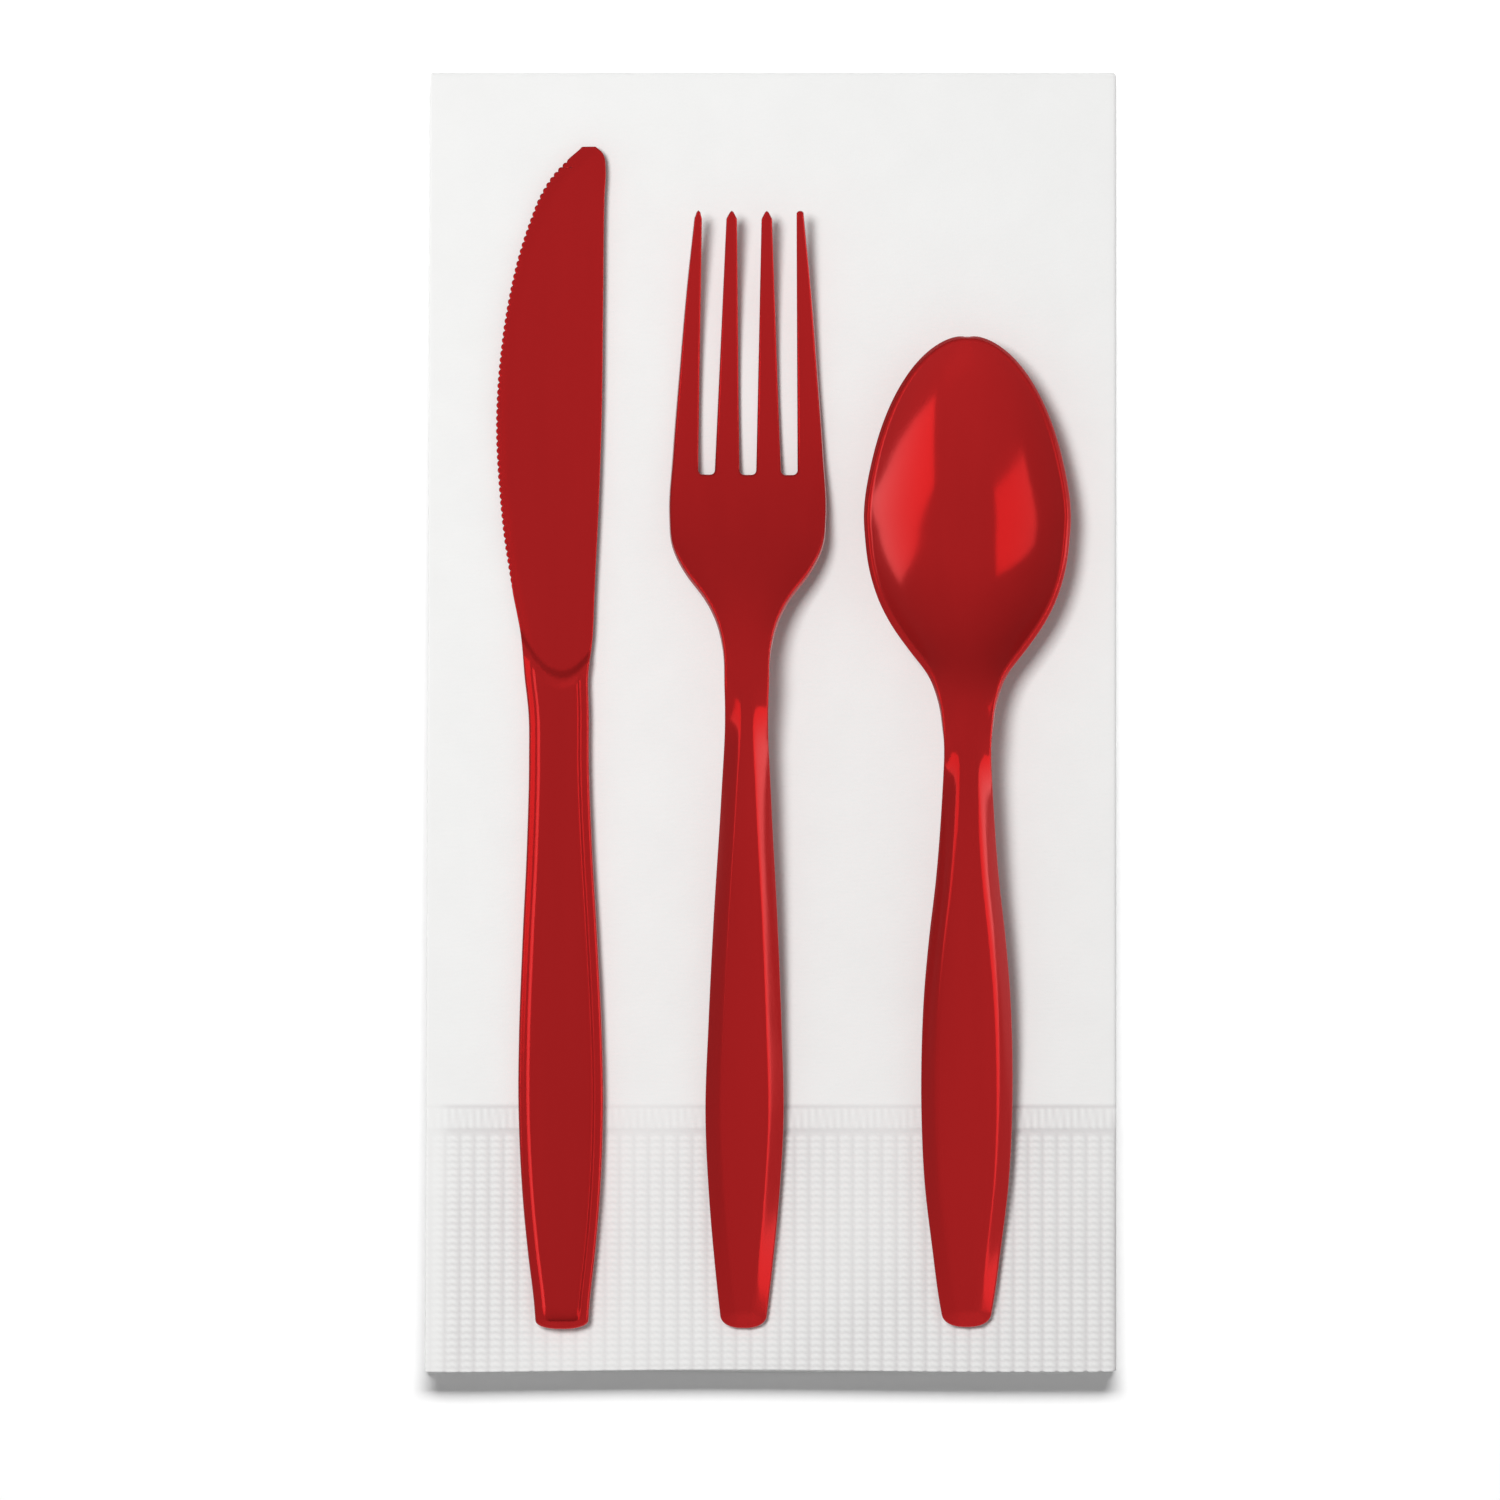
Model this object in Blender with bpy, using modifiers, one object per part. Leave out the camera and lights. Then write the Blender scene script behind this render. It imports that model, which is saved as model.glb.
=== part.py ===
"""Place setting of moulded plastic cutlery: a knife, a fork and a spoon on a folded paper napkin.

The knife, fork and spoon lie side by side with their handle ends in one line, tips towards +Y.
Each is one injection moulding. The napkin is one sheet, folded in thirds and then in half.
The origin is at the centre of the napkin's underside. Tables below are in millimetres.
"""
import math

import bmesh
import bpy
import numpy as np

MM = 0.001

# Napkin: one sheet folded in thirds across X, then in half along Y.
NAPKIN_WIDTH = 111.4
NAPKIN_LENGTH = 209.4
SHEET_THICKNESS = 0.30
LAYER_GAP = 0.15
FREE_EDGE_INSET = 1.2
FOLD_STEPS = 6
FLAT_MARGIN = 2.0

# Where the cutlery lies.
REST_GAP = 0.3
HANDLE_LINE_Y = -97.9
KNIFE_X, KNIFE_TURN = -33.6, 0.30
FORK_X, FORK_TURN = -4.4, -0.30
SPOON_X, SPOON_TURN = 31.8, 0.0

# Knife: flat and the same on both faces, so it is a plan outline with a thickness map.
KNIFE_LENGTH = 190.5
KNIFE_HANDLE = ((0, 4.2), (4.4, 4.52), (12.1, 5.41), (19.9, 6.14), (27.6, 6.6), (37.3, 6.85),
                (47.0, 6.7), (62.5, 6.05), (78.0, 5.25), (91.6, 4.85), (99.3, 4.9))
KNIFE_CUTTING_EDGE = ((105.1, 5.5), (111.0, 5.96), (118.7, 7.36), (126.5, 8.62), (134.2, 9.4),
                      (145.8, 9.9), (157.5, 9.1), (165.2, 7.93), (173.0, 6.1), (178.8, 4.15),
                      (182.7, 2.5), (186.5, -0.1), (188.5, -2.2), (190.5, -4.6))
KNIFE_SPINE = ((105.1, 4.83), (111.0, 5.5), (118.7, 5.88), (134.2, 6.7), (145.8, 7.14),
               (165.2, 7.5), (182.0, 7.8), (187.0, 8.0), (188.5, 7.85), (189.7, 7.2), (190.5, 5.9))
KNIFE_END_REACH, KNIFE_END_POWER = 2.4, 1.8
RIM_HEIGHT = 2.9
RIM_SHOULDER = 2.3
PANEL_THICKNESS = 1.9
RIM_LINES = (0.0, 0.45, 1.15, 1.75)
BLADE_SPINE_THICKNESS = 1.5
BLADE_EDGE_THICKNESS = 0.5
BOLSTER_Y = 105.0
BOLSTER_CENTRE_X = 1.0
BOLSTER_CURVE = 0.125
BOLSTER_SPAN = 9.0
BOLSTER_REACH = 2.1
TOOTH_PITCH = 1.05
TOOTH_DEPTH = 0.32
TEETH_FROM, TEETH_TO = 118.0, 188.4

# Fork: half widths, then the height of its top face along the middle.
FORK_LENGTH = 179.7
FORK_HALF_WIDTH = ((0, 3.65), (9.4, 4.76), (21.1, 5.9), (34.0, 6.58), (50.0, 6.15), (67.0, 5.4),
                   (85.0, 4.36), (103.0, 3.62), (110.2, 3.88), (114.1, 4.93), (118.0, 6.9),
                   (121.9, 10.0), (126.0, 12.0), (131.0, 12.5), (143.2, 11.95), (160.6, 10.6),
                   (178.4, 8.9), (179.7, 8.5))
FORK_LINE = ((0, 2.4), (30, 4.9), (70, 8.5), (100, 10.9), (108, 11.0), (116, 9.2), (128, 4.9),
             (140, 2.2), (150, 1.7), (165, 3.3), (180, 6.8))
FORK_WALL = 1.6
FORK_DISH = ((0, 0), (104, 0), (118, 0.9), (135, 1.1), (180, 0.5))
SLOT_ROOT_CENTRES = (-6.62, 0.0, 6.62)
SLOT_TIP_CENTRES = (-5.57, 0.0, 5.57)
SLOT_ROOT_Y = 137.6
SLOT_ROOT_WIDTH = 2.6
SLOT_TIP_WIDTH = 3.95
SLOT_ROOT_RADIUS = 0.55
TINE_POINT = 0.45

# Spoon: outer half widths up to the widest place of the bowl, then a rounded nose by formula.
SPOON_LENGTH = 159.9
NOSE_LEAN = 0.6
SPOON_HALF_WIDTH = ((0, 3.75), (4.8, 4.68), (12.6, 5.65), (24.2, 6.94), (36.0, 7.35), (47.5, 7.19),
                    (61.0, 6.3), (72.7, 4.8), (80.0, 4.2), (88.0, 4.03), (96.0, 4.12),
                    (101.7, 5.1), (105.6, 6.7), (109.5, 9.7), (113.4, 12.5), (117.2, 14.5),
                    (121.1, 15.8), (128.9, 16.85))
BOWL_WIDEST_Y = 128.9
BOWL_NOSE_POWER, BOWL_NOSE_ROOT = 1.9, 0.53
SPOON_RIM = ((0, 2.4), (30, 5.2), (70, 9.0), (92, 10.4), (104, 10.6), (116, 9.7), (128, 8.8),
             (145, 8.5), (160, 8.5))
SPOON_DEPTH = ((0, 0), (92, 0), (104, 1.5), (112, 4.8), (120, 6.8), (129, 7.2), (140, 6.6),
               (150, 4.4), (155.5, 2.3), (159.3, 0))
SPOON_WALL = 1.4
BOWL_SECTION_POWER = 2.2

# Fork and spoon handles: a flat top panel with a sloping facet down each side.
HANDLE_END_REACH, HANDLE_END_POWER = 2.2, 2.4
FACET_WIDTH = 2.2
FACET_DROP = 0.9
FACET_FADE_FROM, FACET_FADE_LENGTH = 96.0, 10.0

RED = (0.42, 0.014, 0.016)
WHITE = (0.90, 0.90, 0.89)


def clear_scene():
    for item in list(bpy.data.objects):
        bpy.data.objects.remove(item, do_unlink=True)


def make_collection(name):
    collection = bpy.data.collections.new(name)
    bpy.context.scene.collection.children.link(collection)
    return collection


def make_material(name, colour, roughness):
    material = bpy.data.materials.new(name)
    material.use_nodes = True
    shader = material.node_tree.nodes["Principled BSDF"]
    shader.inputs["Base Color"].default_value = (*colour, 1.0)
    shader.inputs["Roughness"].default_value = roughness
    shader.inputs["Metallic"].default_value = 0.0
    return material


def smooth(table, at):
    """Cubic through the table's (station, value) pairs, read at the stations `at`."""
    stations, values = np.array(table, dtype=float).T
    slopes = np.gradient(values, stations)
    at = np.clip(at, stations[0], stations[-1])
    index = np.clip(np.searchsorted(stations, at, side="right") - 1, 0, len(stations) - 2)
    step = stations[index + 1] - stations[index]
    t = (at - stations[index]) / step
    start = (2 * t ** 3 - 3 * t ** 2 + 1) * values[index]
    start += (t ** 3 - 2 * t ** 2 + t) * step * slopes[index]
    finish = (3 * t ** 2 - 2 * t ** 3) * values[index + 1]
    finish += (t ** 3 - t ** 2) * step * slopes[index + 1]
    return start + finish


def fade(value):
    """Smooth step from 0 to 1."""
    value = np.clip(value, 0.0, 1.0)
    return value * value * (3 - 2 * value)


def round_end(y, reach, power):
    """Share of the full width at a distance y from a rounded end, never quite zero."""
    lead = 0.05 * reach
    near = np.clip(1 - (y + lead) / (reach + lead), 0.0, 1.0)
    return (1 - near ** power) ** (1 / power)


def close_spaced(start, stop, count):
    """Stations from start to stop, closer together near start."""
    t = np.linspace(0, 1, count)
    return start + (stop - start) * t ** 2


def surface(name, points, material, collection):
    """Open surface through a grid of points, rows along Y and columns across X."""
    rows, columns = points.shape[:2]
    bm = bmesh.new()
    bmesh.ops.create_grid(bm, x_segments=columns - 1, y_segments=rows - 1, size=1)
    order = []
    for vertex in bm.verts:
        column = round((vertex.co.x + 1) / 2 * (columns - 1))
        row = round((vertex.co.y + 1) / 2 * (rows - 1))
        order.append((row, column))
        vertex.co = points[row, column] * MM
    mesh = bpy.data.meshes.new(name)
    bm.to_mesh(mesh)
    bm.free()
    mesh.materials.append(material)
    mesh.shade_smooth()
    mesh.set_sharp_from_angle(angle=math.radians(35))
    piece = bpy.data.objects.new(name, mesh)
    collection.objects.link(piece)
    return piece, order


def give_wall(piece, thickness, offset):
    wall = piece.modifiers.new("Wall", "SOLIDIFY")
    wall.thickness = thickness * MM
    wall.offset = offset
    wall.use_even_offset = True
    return wall


def cut(piece, cutter, solver="EXACT"):
    boolean = piece.modifiers.new("Cut " + cutter.name, "BOOLEAN")
    boolean.operation = "DIFFERENCE"
    boolean.object = cutter
    boolean.solver = solver


def make_cutter(name, mesh, parent, collection):
    cutter = bpy.data.objects.new(name, mesh)
    cutter.parent = parent
    cutter.hide_render = True
    cutter.display_type = "WIRE"
    collection.objects.link(cutter)
    return cutter


def lay_down(piece, x, turn):
    """Lay a piece on the napkin with its lowest point REST_GAP above the paper."""
    solid = piece.evaluated_get(bpy.context.evaluated_depsgraph_get())
    lowest = min(vertex.co.z for vertex in solid.data.vertices)
    top = (napkin_height() + REST_GAP) * MM
    piece.location = (x * MM, HANDLE_LINE_Y * MM, top - lowest)
    piece.rotation_euler = (0, 0, math.radians(turn))


# Napkin

def napkin_height():
    return 6 * SHEET_THICKNESS + 5 * LAYER_GAP


def arc(centre_x, centre_h, radius, start, stop):
    angles = np.radians(np.linspace(start, stop, FOLD_STEPS + 1))
    return [(centre_x + radius * math.cos(a), centre_h + radius * math.sin(a)) for a in angles]


def folded_in_thirds():
    """Section of the three layers: (x, height) of the sheet's middle, from edge to edge."""
    pitch = SHEET_THICKNESS + LAYER_GAP
    left = -NAPKIN_WIDTH / 2 + pitch / 2 + SHEET_THICKNESS / 2
    right = NAPKIN_WIDTH / 2 - pitch - SHEET_THICKNESS / 2
    section = [(right - FREE_EDGE_INSET, pitch), (left + FLAT_MARGIN, pitch)]
    section += arc(left, 1.5 * pitch, pitch / 2, 270, 90)
    section += [(left + FLAT_MARGIN, 2 * pitch), (right - FLAT_MARGIN, 2 * pitch)]
    section += arc(right, pitch, pitch, 90, -90)
    section += [(right - FLAT_MARGIN, 0.0), (left + FREE_EDGE_INSET, 0.0)]
    return section


def make_napkin(material, collection):
    """The three-layer strip is bent double: a height above the strip's inner face becomes
    a radius round the top fold, below the fold's middle on the way out and above it back."""
    pitch = SHEET_THICKNESS + LAYER_GAP
    middle = napkin_height() / 2
    inner = pitch / 2
    fold_y = NAPKIN_LENGTH / 2 - middle
    open_y = -NAPKIN_LENGTH / 2
    turns = np.radians(np.linspace(-90, 90, FOLD_STEPS + 3))
    route = [(open_y, turns[0]), (fold_y - FLAT_MARGIN, turns[0])]
    route += [(fold_y, angle) for angle in turns]
    route += [(fold_y - FLAT_MARGIN, turns[-1]), (open_y, turns[-1])]
    section = np.array(folded_in_thirds())
    points = np.zeros((len(route), len(section), 3))
    for row, (start_y, angle) in enumerate(route):
        radius = inner + section[:, 1]
        points[row, :, 0] = section[:, 0]
        points[row, :, 1] = start_y + radius * math.cos(angle)
        points[row, :, 2] = middle + radius * math.sin(angle)
    napkin, _ = surface("napkin", points, material, collection)
    give_wall(napkin, SHEET_THICKNESS, 0.0)


# Knife

def knife_rows():
    handle = np.concatenate([close_spaced(0, RIM_LINES[-1], 5), (2.8, 4.4), np.arange(9, 100, 6.5)])
    bolster = BOLSTER_Y + BOLSTER_REACH * np.array((-1.0, -0.4, 0.0, 0.4, 1.0))
    blade = np.concatenate([(110, 114), np.arange(119, 175, 5.0), (177, 180, 182.5)])
    tip = (184.5, 186.2, 187.4, 188.4, 189.2, 189.8, 190.25, KNIFE_LENGTH)
    return np.concatenate([handle, bolster, blade, tip])


def knife_edges(y):
    """Cutting edge (towards -X) and spine (towards +X) at the stations y."""
    rounding = round_end(y, KNIFE_END_REACH, KNIFE_END_POWER)
    left = -smooth(KNIFE_HANDLE + KNIFE_CUTTING_EDGE, y) * rounding
    right = smooth(KNIFE_HANDLE + KNIFE_SPINE, y) * rounding
    return left, right


def knife_thickness(inset, y):
    """Thickness of the moulding: a raised rim round a thinner panel, the bolster, the blade."""
    from_rim = np.minimum(inset, y)
    shoulder = RIM_SHOULDER + (RIM_HEIGHT - RIM_SHOULDER) * fade(from_rim / RIM_LINES[1])
    to_panel = fade((from_rim - RIM_LINES[2]) / (RIM_LINES[3] - RIM_LINES[2]))
    handle = shoulder + (PANEL_THICKNESS - shoulder) * to_panel
    bead = 1 - fade(np.abs(y - BOLSTER_Y) / BOLSTER_REACH)
    handle = handle + (RIM_HEIGHT - handle) * bead * fade(inset / RIM_LINES[1])
    return handle, bead


def make_knife(material, collection, cutters):
    y = knife_rows()
    left, right = knife_edges(y)
    half = (right - left) / 2
    insets = np.minimum(1.0, 0.6 * half / RIM_LINES[-1])[:, None] * np.array(RIM_LINES)
    centre = (left + right)[:, None] / 2
    x = np.hstack([left[:, None] + insets, centre, right[:, None] - insets[:, ::-1]])
    inset = np.minimum(x - left[:, None], right[:, None] - x)
    handle, bead = knife_thickness(inset, y[:, None])
    from_edge = (x - left[:, None]) / (2 * half[:, None])
    blade = BLADE_EDGE_THICKNESS
    blade = blade + (BLADE_SPINE_THICKNESS - BLADE_EDGE_THICKNESS) * fade(from_edge / 0.45)
    on_blade = (y[:, None] > BOLSTER_Y) * (1 - bead)
    thickness = handle + (blade - handle) * on_blade
    # The rows near the bolster are bent into its U, open towards the tip.
    nearness = (1 - np.abs(y - BOLSTER_Y) / BOLSTER_SPAN).clip(0, 1)
    bend = BOLSTER_CURVE * nearness[:, None] * (x - BOLSTER_CENTRE_X) ** 2
    points = np.stack([x, y[:, None] + bend, np.zeros_like(x)], axis=-1)
    knife, order = surface("knife", points, material, collection)
    shares = knife.vertex_groups.new(name="thickness")
    for index, (row, column) in enumerate(order):
        shares.add([index], float(thickness[row, column] / RIM_HEIGHT), "REPLACE")
    wall = give_wall(knife, RIM_HEIGHT, 0.0)
    wall.vertex_group = shares.name
    lay_down(knife, KNIFE_X, KNIFE_TURN)
    cut(knife, make_teeth(knife, cutters))


def make_teeth(knife, cutters):
    """A row of square prisms, corner first along the cutting edge, one for each notch."""
    fine = np.linspace(TEETH_FROM, TEETH_TO, 400)
    edge = np.column_stack([knife_edges(fine)[0], fine])
    travelled = np.concatenate([[0], np.cumsum(np.hypot(*np.diff(edge, axis=0).T))])
    count = int(travelled[-1] / TOOTH_PITCH)
    bm = bmesh.new()
    for tooth in range(count):
        at = tooth * TOOTH_PITCH
        x, y = (np.interp(at, travelled, edge[:, axis]) for axis in (0, 1))
        notch = bmesh.ops.create_cone(bm, cap_ends=True, segments=4, depth=4 * MM,
                                      radius1=TOOTH_DEPTH * MM, radius2=TOOTH_DEPTH * MM)
        bmesh.ops.translate(bm, verts=notch["verts"], vec=(x * MM, y * MM, 0))
    mesh = bpy.data.meshes.new("teeth_cutter")
    bm.to_mesh(mesh)
    bm.free()
    return make_cutter("teeth_cutter", mesh, knife, cutters)


# Fork and spoon

def facet(x, half, y):
    """How far the top face has dropped on the facet along the sides and the end of a handle."""
    from_side = half - np.abs(x)
    share = 1 - np.minimum(from_side, y) / FACET_WIDTH
    fading = 1 - fade((y - FACET_FADE_FROM) / FACET_FADE_LENGTH)
    return FACET_DROP * np.clip(share, 0, 1) * fading


def handle_rows():
    return np.concatenate([close_spaced(0, FACET_WIDTH, 6), (3.6, 5.5), np.arange(10, 92, 7.5)])


def columns_across(half, shares):
    """Columns from edge to edge, the outermost pair holding the facet."""
    inner = (1 - np.minimum(FACET_WIDTH / half, 0.45))[:, None] * np.array(shares)
    edge = np.ones_like(half)[:, None]
    return np.hstack([-edge, inner, edge])


def make_fork(material, collection, cutters):
    head = np.concatenate([np.arange(96, 134, 2.6), np.arange(137, 178, 5.0), (178.8, FORK_LENGTH)])
    y = np.concatenate([handle_rows(), head])
    half = smooth(FORK_HALF_WIDTH, y) * round_end(y, HANDLE_END_REACH, HANDLE_END_POWER)
    across = columns_across(half, (-1, -0.55, 0, 0.55, 1))
    x = across * half[:, None]
    rows = y[:, None]
    z = smooth(FORK_LINE, rows) - facet(x, half[:, None], rows) + smooth(FORK_DISH, rows) * across ** 2
    points = np.stack([x, np.broadcast_to(rows, x.shape), z], axis=-1)
    fork, _ = surface("fork", points, material, collection)
    give_wall(fork, FORK_WALL, -1.0)
    lay_down(fork, FORK_X, FORK_TURN)
    for number, centres in enumerate(zip(SLOT_ROOT_CENTRES, SLOT_TIP_CENTRES), start=1):
        cut(fork, make_slot(f"slot_cutter_{number}", *centres, fork, cutters))


def make_slot(name, root_x, tip_x, fork, cutters):
    """Tapered slot with round corners at its root, flared at the tips to point the tines."""
    tip = SLOT_TIP_WIDTH / 2
    corner = SLOT_ROOT_RADIUS
    corner_x = SLOT_ROOT_WIDTH / 2 - corner
    outline = []
    for centre, angles in ((root_x - corner_x, (180, 210, 240, 270)),
                           (root_x + corner_x, (270, 300, 330, 360))):
        for angle in np.radians(angles):
            outline.append((centre + corner * math.cos(angle),
                            SLOT_ROOT_Y + corner * (1 + math.sin(angle))))
    outline += [(tip_x + tip, FORK_LENGTH - 2.5 * TINE_POINT),
                (tip_x + tip + TINE_POINT, FORK_LENGTH + TINE_POINT),
                (tip_x - tip - TINE_POINT, FORK_LENGTH + TINE_POINT),
                (tip_x - tip, FORK_LENGTH - 2.5 * TINE_POINT)]
    curve = bpy.data.curves.new(name, "CURVE")
    curve.dimensions = "2D"
    curve.fill_mode = "BOTH"
    curve.extrude = 12 * MM
    spline = curve.splines.new("POLY")
    spline.points.add(len(outline) - 1)
    for point, (px, py) in zip(spline.points, outline):
        point.co = (px * MM, py * MM, 0, 1)
    spline.use_cyclic_u = True
    drawn = bpy.data.objects.new(name + "_curve", curve)
    cutters.objects.link(drawn)
    depsgraph = bpy.context.evaluated_depsgraph_get()
    mesh = bpy.data.meshes.new_from_object(drawn.evaluated_get(depsgraph))
    bpy.data.objects.remove(drawn, do_unlink=True)
    bm = bmesh.new()
    bm.from_mesh(mesh)
    bmesh.ops.remove_doubles(bm, verts=bm.verts, dist=1e-6)
    bm.to_mesh(mesh)
    bm.free()
    return make_cutter(name, mesh, fork, cutters)


def spoon_half_width(y, depth):
    """Half width of the top face: the outer table, less the lean of the wall at the bowl's
    rim, up to the bowl's widest place, and then a nose that closes as (1 - t^p)^q."""
    outer = smooth(SPOON_HALF_WIDTH, y)
    slope = BOWL_SECTION_POWER * depth / outer
    lean = SPOON_WALL * slope / np.sqrt(1 + slope ** 2)
    t = np.clip((y - BOWL_WIDEST_Y) / (SPOON_LENGTH - NOSE_LEAN - BOWL_WIDEST_Y), 0, 0.997)
    nose = (1 - t ** BOWL_NOSE_POWER) ** BOWL_NOSE_ROOT
    return (outer - lean) * nose


def make_spoon(material, collection):
    bowl = np.concatenate([np.arange(92, 128, 2.6), np.arange(129, 150, 3.4)])
    nose = SPOON_LENGTH - NOSE_LEAN - close_spaced(0, 9.0, 8)[::-1]
    y = np.concatenate([handle_rows(), bowl, nose])
    depth = smooth(SPOON_DEPTH, y)
    half = spoon_half_width(y, depth) * round_end(y, HANDLE_END_REACH, HANDLE_END_POWER)
    across = columns_across(half, (-1, -0.72, -0.4, 0, 0.4, 0.72, 1))
    x = across * half[:, None]
    rows = y[:, None]
    dish = depth[:, None] * (1 - np.abs(across) ** BOWL_SECTION_POWER)
    z = smooth(SPOON_RIM, rows) - facet(x, half[:, None], rows) - dish
    points = np.stack([x, np.broadcast_to(rows, x.shape), z], axis=-1)
    spoon, _ = surface("spoon", points, material, collection)
    give_wall(spoon, SPOON_WALL, -1.0)
    lay_down(spoon, SPOON_X, SPOON_TURN)


def main():
    clear_scene()
    parts = make_collection("plastic_cutlery_pack")
    cutters = make_collection("cutters")
    red = make_material("red_polystyrene", RED, 0.2)
    white = make_material("white_tissue_paper", WHITE, 0.9)
    make_napkin(white, parts)
    make_knife(red, parts, cutters)
    make_fork(red, parts, cutters)
    make_spoon(red, parts)


main()
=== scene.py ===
import math

import bmesh
import bpy
import numpy as np
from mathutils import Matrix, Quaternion, Vector


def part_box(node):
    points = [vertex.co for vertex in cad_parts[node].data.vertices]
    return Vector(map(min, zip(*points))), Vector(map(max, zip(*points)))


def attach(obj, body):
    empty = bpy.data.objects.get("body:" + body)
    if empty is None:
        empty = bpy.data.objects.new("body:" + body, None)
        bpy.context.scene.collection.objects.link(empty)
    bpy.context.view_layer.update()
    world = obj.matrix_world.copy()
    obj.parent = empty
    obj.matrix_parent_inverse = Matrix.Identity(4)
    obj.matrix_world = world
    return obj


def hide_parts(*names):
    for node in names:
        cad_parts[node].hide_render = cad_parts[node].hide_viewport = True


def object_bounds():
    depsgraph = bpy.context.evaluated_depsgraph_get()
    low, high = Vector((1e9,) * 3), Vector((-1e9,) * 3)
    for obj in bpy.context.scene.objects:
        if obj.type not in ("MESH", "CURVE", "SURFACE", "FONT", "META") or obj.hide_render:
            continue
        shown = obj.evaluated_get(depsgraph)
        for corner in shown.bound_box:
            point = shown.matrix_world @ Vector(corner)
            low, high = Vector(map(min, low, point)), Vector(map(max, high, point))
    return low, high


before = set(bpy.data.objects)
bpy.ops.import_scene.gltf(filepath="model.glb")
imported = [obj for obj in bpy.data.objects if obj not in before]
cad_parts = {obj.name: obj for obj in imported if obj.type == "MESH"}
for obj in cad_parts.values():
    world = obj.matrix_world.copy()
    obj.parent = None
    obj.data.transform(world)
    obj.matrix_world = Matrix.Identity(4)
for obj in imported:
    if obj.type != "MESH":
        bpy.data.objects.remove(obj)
cadBox = [list(corner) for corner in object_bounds()]
mm = 0.001


# Curves and numbers shared by the pieces. Lengths are in millimetres until the mesh is made.

def alongTable(table, at):
    # Cubic through the (place, value) pairs, each slope taken from the neighbours on both sides.
    place, value = np.array(table, dtype=float).T
    slope = np.gradient(value, place)
    at = np.clip(at, place[0], place[-1])
    left = np.clip(np.searchsorted(place, at, side="right") - 1, 0, len(place) - 2)
    step = place[left + 1] - place[left]
    t = (at - place[left]) / step
    rise = value[left + 1] - value[left]
    startSlope, endSlope = step * slope[left], step * slope[left + 1]
    return (value[left] + t * startSlope + t ** 2 * (3 * rise - 2 * startSlope - endSlope)
            + t ** 3 * (startSlope + endSlope - 2 * rise))


def flowing(table, at, spread):
    # The table's curve averaged with bell weights over two spreads either way, so that a
    # highlight runs along it without kinks.
    shifts = np.linspace(-2, 2, 9)
    weights = np.exp(-shifts ** 2 / 2)
    total = sum(weight * alongTable(table, at + shift * spread)
                for shift, weight in zip(shifts, weights))
    return total / weights.sum()


def ease(value):
    # Smooth step: 3v^2 - 2v^3 between 0 and 1.
    value = np.clip(value, 0.0, 1.0)
    return value * value * (3 - 2 * value)


def roundEnd(y, reach, power):
    # Share of the full width at a distance y from a rounded end: (1 - n^p)^(1/p), n from 1 to 0.
    near = np.clip(1 - y / reach, 0.0, 1.0)
    return (1 - near ** power) ** (1 / power)


def roundEndRows(reach, power, count):
    # Places along a rounded end that step evenly round its corner.
    turn = np.linspace(0, math.pi / 2, count)
    return reach * (1 - np.cos(turn) ** (2 / power))


def roundedCorner(fromSide, fromEnd, radius):
    # Distance from the nearer edge, with the inner corner rounded: radius less the distance
    # from the corner's own centre.
    nearest = np.minimum(fromSide, fromEnd)
    corner = radius - np.hypot(np.maximum(radius - fromSide, 0), np.maximum(radius - fromEnd, 0))
    return np.where(nearest >= radius, nearest, corner)


def unit(vectors):
    # Each vector over its own length.
    return vectors / np.maximum(np.linalg.norm(vectors, axis=-1, keepdims=True), 1e-12)


# Building a moulding: a top skin on a grid, a bottom skin under it and a rounded edge between.

def gridQuads(ids):
    # The four-cornered faces of a grid of vertex numbers.
    return np.stack([ids[:-1, :-1], ids[:-1, 1:], ids[1:, 1:], ids[1:, :-1]], -1).reshape(-1, 4)


def insetSides(left, right, inset, closedTip):
    # Both sides of an outline moved into the piece, square to it. A closed end has one point,
    # whose neighbours are the next points of both sides.
    loop = np.vstack([left, right[::-1]])
    before, after = np.roll(loop, 1, axis=0), np.roll(loop, -1, axis=0)
    before[0], after[-1] = right[1], left[1]
    tip = len(left)
    if closedTip:
        after[tip - 1], before[tip] = right[-2], left[-2]
    run = unit(after - before)
    moved = loop + np.column_stack([run[:, 1], -run[:, 0]]) * np.append(inset, inset[::-1])[:, None]
    moved[[0, -1], 0] = 0.0
    return moved[:tip], moved[tip:][::-1]


def columnShares(width, gaps, inner):
    # Shares of the width: columns at fixed gaps from both edges, evenly spaced between them.
    squeeze = np.minimum(1.0, 0.45 * width / gaps[-1])[:, None]
    edge = np.array(gaps) * squeeze / np.maximum(width, 1e-6)[:, None]
    even = np.linspace(0, 1, inner + 2)[1:-1]
    middle = edge[:, -1:] + (1 - 2 * edge[:, -1:]) * even
    return np.hstack([edge, middle, 1 - edge[:, ::-1]])


def skinNormals(height, x, y):
    # Upward normals of z = height(x, y), from its slopes over a small step.
    step = 0.02
    slopeX = (height(x + step, y) - height(x - step, y)) / (2 * step)
    slopeY = (height(x, y + step) - height(x, y - step)) / (2 * step)
    return unit(np.stack([-slopeX, -slopeY, np.ones_like(slopeX)], axis=-1))


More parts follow.
